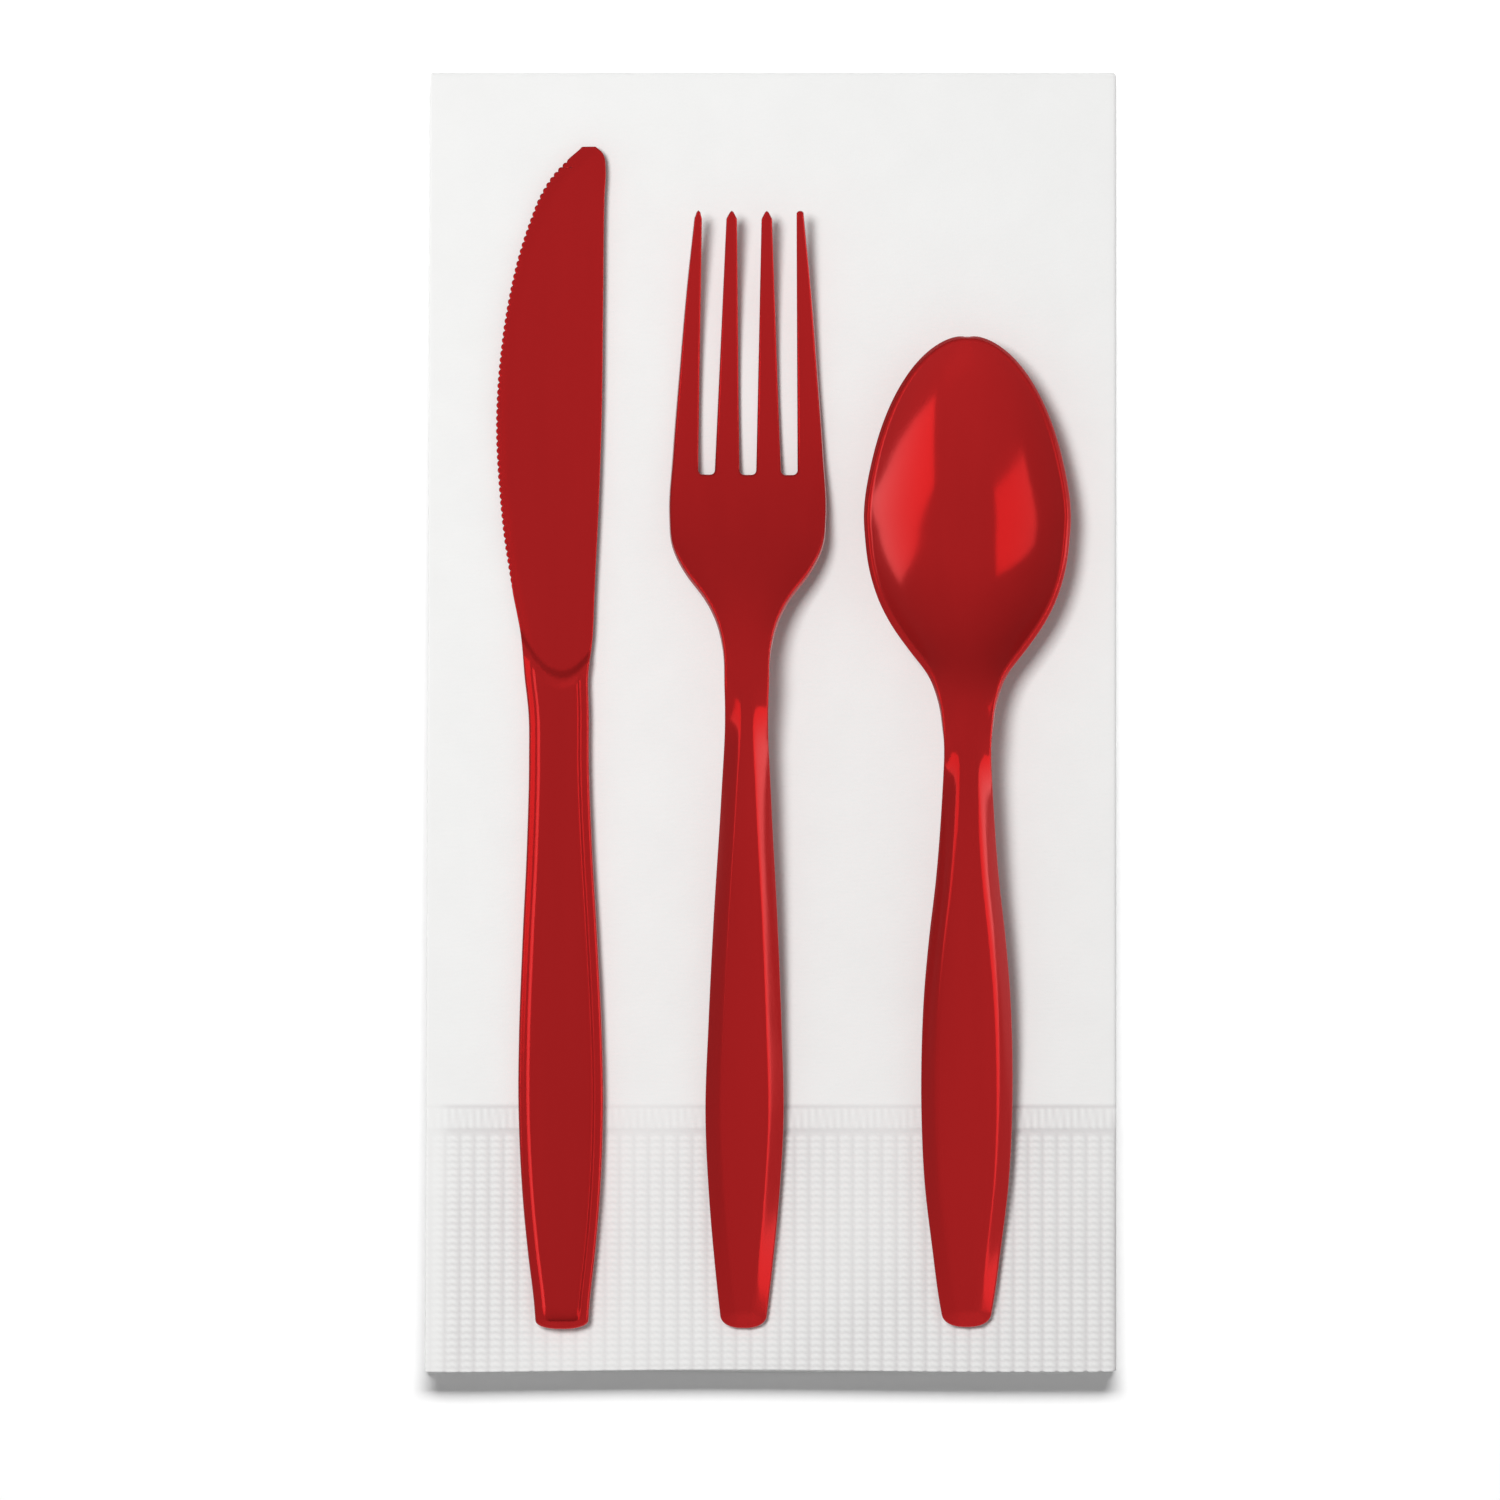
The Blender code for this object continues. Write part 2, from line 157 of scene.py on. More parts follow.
def closeMoulding(name, top, bottom, quads, loop, edgeRadius, turnSteps=6):
    # The edge runs round the loop: a quarter circle out from the top skin, the wall, and a
    # quarter circle back to the bottom skin, in the plane square to the edge.
    ring = top[loop]
    under = bottom[loop]
    run = unit(np.roll(ring, -1, axis=0) - np.roll(ring, 1, axis=0))
    down = unit(under - ring)
    outward = unit(np.cross(run, down))
    radius = np.broadcast_to(edgeRadius, len(loop))[:, None]
    turn = np.linspace(0, math.pi / 2, turnSteps + 1)[1:]
    rings = [ring + down * radius * (1 - math.cos(a)) + outward * radius * math.sin(a) for a in turn]
    rings += [under - down * radius * (1 - math.cos(a)) + outward * radius * math.sin(a)
              for a in turn[::-1]]
    count = len(top)
    ringIds = 2 * count + np.arange(len(rings) * len(loop)).reshape(len(rings), -1)
    allIds = np.vstack([loop, ringIds, loop + count])
    allIds = np.hstack([allIds, allIds[:, :1]])
    points = np.vstack([top, bottom] + rings)
    faces = np.vstack([quads, quads[:, ::-1] + count, gridQuads(allIds)])
    return meshPiece(name, points, faces)


def meshPiece(name, points, faces, marks=()):
    # Points in millimetres and faces into a mesh in metres, with doubles merged, so that its
    # poles and seams are closed, and its faces turned outwards. Marks are numbers on the points.
    mesh = bpy.data.meshes.new(name)
    mesh.from_pydata((points * mm).tolist(), [], faces.tolist())
    for mark, values in dict(marks).items():
        mesh.attributes.new(mark, "FLOAT", "POINT").data.foreach_set("value", values.ravel())
    bm = bmesh.new()
    bm.from_mesh(mesh)
    bmesh.ops.remove_doubles(bm, verts=bm.verts, dist=2e-6)
    bmesh.ops.dissolve_degenerate(bm, edges=bm.edges, dist=1e-7)
    bmesh.ops.recalc_face_normals(bm, faces=bm.faces)
    bm.to_mesh(mesh)
    bm.free()
    mesh.shade_smooth()
    piece = bpy.data.objects.new(name, mesh)
    bpy.context.scene.collection.objects.link(piece)
    return piece


def seatOn(piece, node, turn=0.0, across=0.0):
    # Turn the piece as it lies and move it so that its box sits where the CAD node's does:
    # same middle across (but for a nudge in millimetres) and along, same lowest point.
    mesh = piece.data
    place = np.empty(len(mesh.vertices) * 3)
    mesh.vertices.foreach_get("co", place)
    place = place.reshape(-1, 3)
    cosine, sine = math.cos(math.radians(turn)), math.sin(math.radians(turn))
    place[:, :2] = place[:, :2] @ np.array([[cosine, sine], [-sine, cosine]])
    low, high = (np.array(corner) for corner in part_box(node))
    pieceLow, pieceHigh = place.min(axis=0), place.max(axis=0)
    shift = (low + high) / 2 - (pieceLow + pieceHigh) / 2
    shift[0] += across * mm
    shift[2] = low[2] - pieceLow[2]
    mesh.vertices.foreach_set("co", (place + shift).ravel())
    mesh.update()


def finishPiece(piece, material, slotName, *nodes):
    piece.data.materials.append(material)
    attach(piece, "root")
    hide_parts(*nodes)


# Materials

def fromHex(code):
    # sRGB hex to the linear colour that the shader takes.
    parts = np.array([int(code[i:i + 2], 16) / 255 for i in (1, 3, 5)])
    linear = np.where(parts <= 0.04045, parts / 12.92, ((parts + 0.055) / 1.055) ** 2.4)
    return (*linear.tolist(), 1.0)


def addNode(tree, kind, settings=(), links=()):
    # A node with its settings, each an input's name or number or an attribute, and its links.
    node = tree.nodes.new(kind)
    for key, value in dict(settings).items():
        if isinstance(key, int) or key in node.inputs:
            node.inputs[key].default_value = value
        else:
            setattr(node, key, value)
    for key, source in dict(links).items():
        tree.links.new(source, node.inputs[key])
    return node


def newMaterial(name):
    material = bpy.data.materials.new(name)
    material.use_nodes = True
    return material, material.node_tree, material.node_tree.nodes["Principled BSDF"]


plasticLook = {
    "red": "#A72122",
    "redDeep": "#A11F20",
    "highlight": "#FF1C1C",
    "roughness": (0.10, 0.17),
    "flowWidth": 4.0,
    "flowLength": 45.0,
    "rippleSize": 1.6,
    "rippleDepth": 0.0008,
}


def mouldedPolystyrene():
    # Red polystyrene injection moulded in polished steel: a clean gloss, the faint streaks
    # where the melt flowed along the piece, and a trace of ripple in the reflections.
    look = plasticLook
    material, tree, shader = newMaterial("moulded_polystyrene")
    shader.inputs["IOR"].default_value = 1.59
    shader.inputs["Specular IOR Level"].default_value = 0.5
    shader.inputs["Specular Tint"].default_value = fromHex(look["highlight"])
    place = addNode(tree, "ShaderNodeTexCoord").outputs["Object"]
    streaks = addNode(tree, "ShaderNodeMapping", {
        "Scale": (1 / (look["flowWidth"] * mm), 1 / (look["flowLength"] * mm), 300.0)},
        {"Vector": place}).outputs["Vector"]
    flow = addNode(tree, "ShaderNodeTexNoise", {"Scale": 1.0, "Detail": 3.0},
                   {"Vector": streaks}).outputs["Fac"]
    colour = addNode(tree, "ShaderNodeMix", {
        "data_type": "RGBA", 6: fromHex(look["red"]), 7: fromHex(look["redDeep"])},
        {0: flow}).outputs[2]
    tree.links.new(colour, shader.inputs["Base Color"])
    low, high = look["roughness"]
    wear = addNode(tree, "ShaderNodeTexNoise", {"Scale": 1 / (9 * mm), "Detail": 4.0},
                   {"Vector": place}).outputs["Fac"]
    rough = addNode(tree, "ShaderNodeMapRange", {3: low, 4: high}, {0: wear}).outputs[0]
    tree.links.new(rough, shader.inputs["Roughness"])
    ripple = addNode(tree, "ShaderNodeTexNoise", {
        "Scale": 1 / (look["rippleSize"] * mm), "Detail": 1.0}, {"Vector": place}).outputs["Fac"]
    bump = addNode(tree, "ShaderNodeBump", {"Distance": look["rippleDepth"] * mm},
                   {"Height": ripple})
    tree.links.new(bump.outputs["Normal"], shader.inputs["Normal"])
    return material


tissueLook = {
    "white": "#F7F7F6",
    "shade": "#F2F2F1",
    # groove: painted shade, the greyer white painted into the embossed grooves
    "groove": "#DDDBDB",
    "crepePitch": 0.45,
    "crepeDepth": 0.05,
    "fibreSize": 0.25,
    "fibreDepth": 0.03,
}


def tissuePaper():
    # Two-ply bleached tissue, creped and then embossed: dead matt, slightly mottled, with fine
    # crepe ridges across the sheet and a felt of short fibres. The grooves of the embossed band
    # get a greyer white as painted shade, on top of their real relief.
    look = tissueLook
    material, tree, shader = newMaterial("creped_tissue_paper")
    shader.inputs["Roughness"].default_value = 0.95
    shader.inputs["Specular IOR Level"].default_value = 0.2
    shader.inputs["Sheen Weight"].default_value = 0.05
    place = addNode(tree, "ShaderNodeTexCoord").outputs["Object"]
    mottle = addNode(tree, "ShaderNodeTexNoise", {"Scale": 1 / (7 * mm), "Detail": 5.0},
                     {"Vector": place}).outputs["Fac"]
    colour = addNode(tree, "ShaderNodeMix", {
        "data_type": "RGBA", 6: fromHex(look["white"]), 7: fromHex(look["shade"])},
        {0: mottle}).outputs[2]
    # Painted shade: the groove mark lays the greyer white into the embossed grooves.
    groove = addNode(tree, "ShaderNodeAttribute", {"attribute_name": "groove"}).outputs["Fac"]
    paintedGrooveShade = addNode(tree, "ShaderNodeMix", {"data_type": "RGBA", 7: fromHex(look["groove"])},
                      {0: groove, 6: colour}).outputs[2]
    tree.links.new(paintedGrooveShade, shader.inputs["Base Color"])
    stretched = addNode(tree, "ShaderNodeMapping", {
        "Scale": (0.25 / (look["crepePitch"] * mm), 1 / (look["crepePitch"] * mm), 100.0)},
        {"Vector": place}).outputs["Vector"]
    crepe = addNode(tree, "ShaderNodeTexNoise", {"Scale": 1.0, "Detail": 2.0},
                    {"Vector": stretched}).outputs["Fac"]
    fibre = addNode(tree, "ShaderNodeTexNoise", {
        "Scale": 1 / (look["fibreSize"] * mm), "Detail": 3.0}, {"Vector": place}).outputs["Fac"]
    crepeBump = addNode(tree, "ShaderNodeBump", {"Distance": look["crepeDepth"] * mm},
                        {"Height": crepe})
    fibreBump = addNode(tree, "ShaderNodeBump", {"Distance": look["fibreDepth"] * mm},
                        {"Height": fibre, "Normal": crepeBump.outputs["Normal"]})
    tree.links.new(fibreBump.outputs["Normal"], shader.inputs["Normal"])
    return material


# Knife: the same on both faces, so its height is half of a thickness map.

knife = {
    "length": 190.5,
    "endReach": 1.5, "endPower": 2.3,
    "handle": ((0, 4.2), (4.4, 4.52), (12.1, 5.41), (19.9, 6.14), (27.6, 6.6), (37.3, 6.85),
               (47.0, 6.7), (62.5, 6.05), (78.0, 5.25), (91.6, 4.85), (99.3, 4.9)),
    "cuttingEdge": ((105.1, 5.5), (111.0, 5.96), (118.7, 7.36), (126.5, 8.62), (134.2, 9.4),
                    (145.8, 9.9), (157.5, 9.1), (165.2, 7.93), (173.0, 6.1), (178.8, 4.15),
                    (182.7, 2.5), (186.5, -0.1), (188.5, -2.2), (190.5, -4.6)),
    "spine": ((105.1, 4.83), (111.0, 5.5), (118.7, 5.88), (134.2, 6.7), (145.8, 7.14),
              (165.2, 7.5), (182.0, 7.8), (187.0, 8.0), (188.5, 7.85), (189.7, 7.2), (190.5, 5.9)),
    "rim": 2.9, "panel": 2.0, "rimSlope": (1.25, 1.85), "rimTilt": 14.0, "panelCorner": 2.4,
    "blade": 1.5, "bevelStart": 1.2, "bevelWidth": 2.6, "edge": 0.72,
    "bolsterY": 104.4, "bolsterX": 0.5, "bolsterCurve": 0.155, "bolsterReach": (1.5, 1.9),
    "toothPitch": 1.05, "toothDepth": 0.42, "toothZone": (118.0, 188.6),
    "handleRound": 0.6, "edgeRound": 0.22,
    "turn": 0.30,
}


def knifeSides(y):
    # The cutting edge's side (towards -X) and the spine's (towards +X) at the places y.
    ending = roundEnd(y, knife["endReach"], knife["endPower"])
    left = -flowing(knife["handle"] + knife["cuttingEdge"], y, 0.5) * ending
    right = flowing(knife["handle"] + knife["spine"], y, 0.4) * ending
    return left, right


def knifeTop(x, y):
    # Half the thickness: tilted rim, sunk panel, the bead of the bolster, and the blade with
    # its ground bevel along the cutting edge.
    left, right = knifeSides(y)
    step = 0.1
    lean = (knifeSides(y + step)[0] - left) / step
    fromCut = (x - left) / np.sqrt(1 + lean ** 2)
    fromEdge = roundedCorner(np.minimum(fromCut, right - x), y, knife["panelCorner"])
    slopeStart, slopeEnd = knife["rimSlope"]
    sunk = ease((fromEdge - slopeStart) / (slopeEnd - slopeStart))
    grip = knife["rim"] + (knife["panel"] - knife["rim"]) * sunk
    tilt = 2 * math.tan(math.radians(knife["rimTilt"]))
    grip = grip - tilt * np.clip(slopeStart - fromEdge, 0, slopeStart)
    blade = knife["bevelStart"] + (knife["blade"] - knife["bevelStart"]) * ease(fromCut / 8.0)
    bevel = ease(np.clip(1 - fromCut / knife["bevelWidth"], 0, 1) * 0.75) / ease(0.75)
    blade = blade + (knife["edge"] - knife["bevelStart"]) * bevel
    straight = y - knife["bolsterCurve"] * (x - knife["bolsterX"]) ** 2
    past = straight - knife["bolsterY"]
    handleReach, bladeReach = knife["bolsterReach"]
    bead = 1 - ease(np.where(past < 0, -past / handleReach, past / bladeReach))
    base = grip + (blade - grip) * ease(past / bladeReach + 0.5)
    return (base + (knife["rim"] + 0.1 - base) * bead) / 2


def knifeRows():
    # Rows crowd where the shape turns: round the end, across the bolster, and along the teeth,
    # where they keep an even step along the edge itself.
    end = roundEndRows(knife["endReach"], knife["endPower"], 26)
    handle = np.linspace(knife["endReach"], 100.0, 96)
    bolster = np.linspace(100.3, 117.5, 84)
    fine = np.linspace(117.7, knife["length"] - knife["edgeRound"], 4000)
    edge = knifeSides(fine)[0]
    travelled = np.append(0, np.cumsum(np.hypot(np.diff(fine), np.diff(edge))))
    blade = np.interp(np.linspace(0, travelled[-1], 520), travelled, fine)
    return np.concatenate([end, handle[1:], bolster, blade])


def makeKnife(material):
    y = knifeRows()
    left, right = knifeSides(y)
    cutSide, spineSide = np.column_stack([left, y]), np.column_stack([right, y])
    onBlade = ease((y - 104.0) / 8.0)
    radius = knife["handleRound"] + (knife["edgeRound"] - knife["handleRound"]) * onBlade
    cutInset, spineInset = insetSides(cutSide, spineSide, radius, closedTip=False)
    # Teeth: the edge steps in and out by a rounded saw wave of the distance along it.
    travelled = np.append(0, np.cumsum(np.hypot(*np.diff(cutInset, axis=0).T)))
    start, stop = knife["toothZone"]
    inZone = ease((y - start) / 6) * ease((stop - y) / 1.0)
    phase = (travelled / knife["toothPitch"]) % 1.0
    notch = knife["toothDepth"] * inZone * (1 - np.sin(np.pi * phase) ** 1.1)
    run = unit(np.gradient(cutInset, axis=0))
    cutInset = cutInset + np.column_stack([run[:, 1], -run[:, 0]]) * notch[:, None]
    width = np.hypot(*(spineInset - cutInset).T)
    gaps = (0, 0.15, 0.32, 0.55, 0.8, 1.05, 1.25, 1.45, 1.7, 2.1)
    share = columnShares(width, gaps, 20)
    plan = cutInset[:, None] + (spineInset - cutInset)[:, None] * share[..., None]
    height = knifeTop(plan[..., 0], plan[..., 1])
    top = np.concatenate([plan, height[..., None]], axis=-1)
    bottom = top * (1, 1, -1)
    ids = np.arange(height.size).reshape(height.shape)
    loop = np.concatenate([ids[:, 0], ids[-1, 1:-1], ids[::-1, -1][:-1]])
    edgeRadius = np.concatenate([radius, np.full(len(ids[-1]) - 2, radius[-1]), radius[::-1][:-1]])
    piece = closeMoulding("knife_moulding", top.reshape(-1, 3), bottom.reshape(-1, 3),
                          gridQuads(ids), loop, edgeRadius)
    seatOn(piece, "knife", knife["turn"])
    finishPiece(piece, material, "red_plastic", "knife")
    print("knife", len(piece.data.polygons))
    return piece


# Fork and spoon handles: a flat top with a softly turned facet down each side.

handle = {
    "endReach": 2.2, "endPower": 2.4,
    "facetWidth": 2.9, "facetDrop": (0.9, 1.9), "facetDeepens": 28.0, "facetSoft": 0.1,
    "round": 0.42,
}


def facetDrop(x, half, y, fadeFrom, fadeLength):
    # How far the facet has dropped: sqrt(n^2 + soft^2) - soft, n growing from 0 at the flat top
    # to 1 at the side. It is shallow at the handle's end and dies away towards the neck.
    fromEdge = roundedCorner(half - np.abs(x), y, handle["facetWidth"])
    outwards = np.clip(1 - fromEdge / handle["facetWidth"], 0, 1)
    soft = handle["facetSoft"]
    slant = (np.sqrt(outwards ** 2 + soft ** 2) - soft) / (math.hypot(1, soft) - soft)
    shallow, deep = handle["facetDrop"]
    drop = shallow + (deep - shallow) * ease(y / handle["facetDeepens"])
    return drop * (1 - ease((y - fadeFrom) / fadeLength)) * slant


fork = {
    "length": 179.7,
    "halfWidth": ((0, 3.65), (9.4, 4.76), (21.1, 5.9), (34.0, 6.58), (50.0, 6.15), (67.0, 5.4),
                  (85.0, 4.36), (103.0, 3.62), (110.2, 3.82), (114.1, 4.75), (118.0, 6.75),
                  (121.9, 9.8), (126.0, 11.9), (131.0, 12.45), (140.8, 11.95), (153.7, 11.0),
                  (166.7, 9.95), (179.7, 8.6)),
    "line": ((0, 2.4), (30, 4.9), (70, 8.7), (92, 10.5), (102, 10.6), (110, 9.7), (118, 7.9), (128, 4.8),
             (140, 2.2), (150, 1.7), (165, 3.3), (180, 6.8)),
    "dish": ((0, 0), (104, 0), (118, 0.9), (135, 1.1), (180, 0.5)),
    "wall": 1.6, "tipWall": 1.15,
    "slotRoot": (-6.62, 0.0, 6.62), "slotTip": (-5.57, 0.0, 5.57),
    "slotWidth": (2.6, 3.95), "rootY": 137.6, "cornerRadius": 0.75,
    "tipPoint": (1.1, 1.1, 1.1, 0.08), "tipRound": 0.26,
    "tineColumns": 14, "slotCorner": 6, "slotFloor": 5,
    "facetFade": (93.0, 12.0),
    "turn": -0.30,
}


def forkHalf(y):
    # Half the fork's width: the table's curve, closed by the handle's rounded end.
    return flowing(fork["halfWidth"], y, 0.7) * roundEnd(y, handle["endReach"], handle["endPower"])


def forkTop(x, y):
    # The line along the middle, less the handle's facets, plus the dish of the head, which
    # grows with the square of the distance from the middle.
    half = flowing(fork["halfWidth"], y, 0.7)
    dish = flowing(fork["dish"], y, 2.5) * (x / half) ** 2
    return flowing(fork["line"], y, 3.0) - facetDrop(x, half, y, *fork["facetFade"]) + dish


def slotSides(number, y):
    # A slot's two sides, both running straight from its root to its open end.
    along = (y - fork["rootY"]) / (fork["length"] - fork["rootY"])
    centre = fork["slotRoot"][number] + (fork["slotTip"][number] - fork["slotRoot"][number]) * along
    width = fork["slotWidth"][0] + (fork["slotWidth"][1] - fork["slotWidth"][0]) * along
    return centre - width / 2, centre + width / 2


def slotRootRow(number, inset):
    # The row of points under a slot: a quarter turn down from its left side, its floor, and a
    # quarter turn up to its right side, all moved out from the slot by the inset.
    radius = fork["cornerRadius"]
    turnY = fork["rootY"] + radius
    left, right = slotSides(number, turnY)
    reach = radius + inset
    turn = np.linspace(0, math.pi / 2, fork["slotCorner"] + 1)
    downX, downY = left + radius - reach * np.cos(turn), turnY - reach * np.sin(turn)
    floorX = np.linspace(left + radius, right - radius, fork["slotFloor"] + 1)[1:-1]
    upX, upY = right - radius + reach * np.cos(turn[::-1]), turnY - reach * np.sin(turn[::-1])
    return (np.concatenate([downX, floorX, upX]),
            np.concatenate([downY, np.full(len(floorX), turnY - reach), upY]))


def forkInset(y):
    # The edges' rounding, which tightens towards the tips.
    return handle["round"] + (fork["tipRound"] - handle["round"]) * ease((y - 145) / 30)


def makeFork(material):
    inset = handle["round"]
    turnY = fork["rootY"] + fork["cornerRadius"]
    columns = fork["tineColumns"]
    even = np.linspace(0, 1, columns)
    even = even - 0.09 * np.sin(2 * np.pi * even)
    # The body's last row passes under the slots and across the feet of the tines.
    lefts, rights = [-forkHalf(turnY) + inset], []
    for number in range(3):
        slotLeft, slotRight = slotSides(number, turnY)
        rights.append(slotLeft - inset)
        lefts.append(slotRight + inset)
    rights.append(forkHalf(turnY) - inset)
    rowX, rowY, feet = [], [], []
    for number in range(4):
        feet.append(np.arange(columns) + sum(len(part) for part in rowX))
        rowX.append(lefts[number] + (rights[number] - lefts[number]) * even)
        rowY.append(np.full(columns, turnY))
        if number < 3:
            slotX, slotY = slotRootRow(number, inset)
            rowX.append(slotX[1:-1])
            rowY.append(slotY[1:-1])
    rowX, rowY = np.concatenate(rowX), np.concatenate(rowY)
    share = (rowX - rowX[0]) / (rowX[-1] - rowX[0])

    y = np.concatenate([roundEndRows(handle["endReach"], handle["endPower"], 22),
                        np.linspace(2.45, 5, 9), np.linspace(6, 100, 80),
                        np.linspace(100.8, 134, 52), np.linspace(134.4, turnY, 18)])
    half = forkHalf(y)
    leftSide, rightSide = insetSides(np.column_stack([-half, y]), np.column_stack([half, y]),
                                     np.full(len(y), inset), closedTip=False)
    leftSide[-1], rightSide[-1] = (rowX[0], turnY), (rowX[-1], turnY)
    body = leftSide[:, None] + (rightSide - leftSide)[:, None] * share[:, None]
    body[..., 1] += (rowY - turnY) * ease((y - turnY + 9) / 9)[:, None]
    bodyIds = np.arange(body.shape[0] * body.shape[1]).reshape(body.shape[:2])

    plans, grids, count = [body.reshape(-1, 2)], [bodyIds], bodyIds.size
    loop = [bodyIds[:, 0]]
    for number in range(4):
        point = fork["tipPoint"][number]
        stop = fork["length"] - fork["tipRound"]
        t = np.linspace(0, 1, 64)
        rows = np.concatenate([turnY + (stop - point - turnY) * t,
                               stop - point * np.linspace(1, 0, 12)[1:]])
        left = -forkHalf(rows) if number == 0 else slotSides(number - 1, rows)[1]
        right = forkHalf(rows) if number == 3 else slotSides(number, rows)[0]
        left, right = left + forkInset(rows), right - forkInset(rows)
        left[0], right[0] = lefts[number], rights[number]
        middle = (left + right) / 2
        sharpen = np.clip((stop - rows) / point, 0, 1) ** 0.9
        left, right = middle + (left - middle) * sharpen, middle + (right - middle) * sharpen
        x = left[:, None] + (right - left)[:, None] * even
        tine = np.stack([x, np.broadcast_to(rows[:, None], x.shape)], axis=-1)
        ids = count + np.arange(x.size).reshape(x.shape)
        ids[0] = bodyIds[-1, feet[number]]
        plans.append(tine.reshape(-1, 2))
        grids.append(ids)
        count += x.size
        loop += [ids[1:, 0], ids[::-1, -1][1:-1]]
        if number < 3:
            loop.append(bodyIds[-1, feet[number][-1]:feet[number + 1][0] + 1])
        else:
            loop.append(bodyIds[-1:, -1])
    loop.append(bodyIds[::-1, -1][1:-1])
    loop = np.concatenate(loop)
    plan = np.vstack(plans)
    x, along = plan.T
    top = np.column_stack([plan, forkTop(x, along)])
    wall = fork["wall"] + (fork["tipWall"] - fork["wall"]) * ease((along - 138) / 40)
    bottom = top - skinNormals(forkTop, x, along) * wall[:, None]
    quads = np.vstack([gridQuads(ids) for ids in grids])
    piece = closeMoulding("fork_moulding", top, bottom, quads, loop, forkInset(along[loop]))
    seatOn(piece, "fork", fork["turn"])
    finishPiece(piece, material, "red_plastic", "fork")
    print("fork", len(piece.data.polygons))
    return piece


spoon = {
    "length": 159.6, "noseLean": 0.6, "shift": -0.3,
    "halfWidth": ((0, 3.75), (5.5, 4.72), (12.0, 5.55), (23.2, 6.82), (34.5, 7.24), (45.9, 7.08),
                  (54.0, 6.65), (62.8, 5.8), (72.7, 4.62), (80.0, 4.1), (88.0, 3.93), (96.0, 4.12),
                  (101.7, 5.1),
                  (105.6, 6.7), (109.5, 9.7), (113.4, 12.5), (117.2, 14.5), (121.1, 15.8),
                  (128.9, 16.85), (140.0, 16.85)),
    "widestY": 128.9, "nosePower": 1.82, "noseRoot": 0.54,
    "rim": ((0, 2.4), (30, 5.2), (70, 9.2), (84, 10.4), (92, 10.4), (100, 9.9), (108, 9.2), (118, 8.8),
            (145, 8.5), (160, 8.5)),
    "depth": ((0, 0), (92, 0), (104, 1.5), (112, 4.8), (120, 6.8), (129, 7.2), (140, 6.6),
              (150, 4.4), (155.5, 2.3), (159.3, 0)),
    "sectionPower": 2.2, "wall": 1.4,
    "facetFade": (86.0, 11.0),
}


def spoonHalf(y):
    # Half width of the top skin: the outline less the lean of the wall at the bowl's rim, up to
    # the bowl's widest place, and then a nose that closes as (1 - t^p)^q.
    outer = flowing(spoon["halfWidth"], y, 0.8)
    slope = spoon["sectionPower"] * flowing(spoon["depth"], y, 1.5) / outer
    lean = spoon["wall"] * slope / np.sqrt(1 + slope ** 2)
    t = np.clip((y - spoon["widestY"]) / (spoon["length"] - spoon["noseLean"] - spoon["widestY"]), 0, 1)
    nose = (1 - t ** spoon["nosePower"]) ** spoon["noseRoot"]
    return (outer - lean) * nose


def spoonTop(x, y):
    # The rim's line, less the facets, less the bowl: depth * (1 - |u|^power) across.
    half = np.maximum(spoonHalf(y), 0.4)
    across = np.minimum(np.abs(x) / half, 1.1)
    bowl = flowing(spoon["depth"], y, 1.5) * (1 - across ** spoon["sectionPower"])
    return flowing(spoon["rim"], y, 3.0) - facetDrop(x, half, y, *spoon["facetFade"]) - bowl


def makeSpoon(material):
    inset = handle["round"]
    noseEnd = spoon["length"] - spoon["noseLean"]
    turn = np.linspace(0, math.pi / 2, 60)
    nose = spoon["widestY"] + (noseEnd - spoon["widestY"]) * np.sin(turn)
    y = np.concatenate([roundEndRows(handle["endReach"], handle["endPower"], 22),
                        np.linspace(2.45, 5, 9), np.linspace(6, 90, 70),
                        np.linspace(90.7, spoon["widestY"], 72)[:-1], nose])
    half = spoonHalf(y) * roundEnd(y, handle["endReach"], handle["endPower"])
    half[-1] = 0.0
    left, right = insetSides(np.column_stack([-half, y]), np.column_stack([half, y]),
                             np.full(len(y), inset), closedTip=True)
    left[-1, 0] = right[-1, 0] = 0.0
    share = columnShares(right[:, 0] - left[:, 0], (0, 0.2, 0.45, 0.75, 1.1, 1.5, 1.95, 2.4, 2.9), 44)
    plan = left[:, None] + (right - left)[:, None] * share[..., None]
    x, along = plan[..., 0], plan[..., 1]
    top = np.concatenate([plan, spoonTop(x, along)[..., None]], axis=-1)
    bottom = top - skinNormals(spoonTop, x, along) * spoon["wall"]
    ids = np.arange(x.size).reshape(x.shape)
    loop = np.concatenate([ids[:, 0], ids[::-1, -1][1:-1]])
    piece = closeMoulding("spoon_moulding", top.reshape(-1, 3), bottom.reshape(-1, 3),
                          gridQuads(ids), loop, inset)
    seatOn(piece, "spoon", 0.0, spoon["shift"])
    finishPiece(piece, material, "red_plastic", "spoon")
    print("spoon", len(piece.data.polygons))
    return piece


# Napkin: one sheet folded in thirds across X and bent double along Y.

napkin = {
    "flat": (333.0, 418.0),
    "sheet": 0.30, "gap": 0.15,
    "edgeInset": 1.2,
    "band": 42.8, "tickStrip": 3.9, "tickPitch": 1.32, "tickLean": 0.5,
    "columnPitch": 2.35, "groove": 0.62, "barPitch": 1.1, "barArch": 0.16,
    "embossHeight": 0.34, "embossSink": 0.06,
    "wave": 0.06,
}


def quietNoise(x, y, seed):
    # Soft wandering value between about -1 and 1: a sum of six sine waves at seeded angles.
    draw = np.random.default_rng(seed)
    total = 0
    for _ in range(6):
        angle, pace, phase = draw.uniform(0, 2 * math.pi), draw.uniform(0.6, 1.6), draw.uniform(0, 6.28)
        total = total + np.sin(pace * (x * math.cos(angle) + y * math.sin(angle)) + phase)
    return total / 3


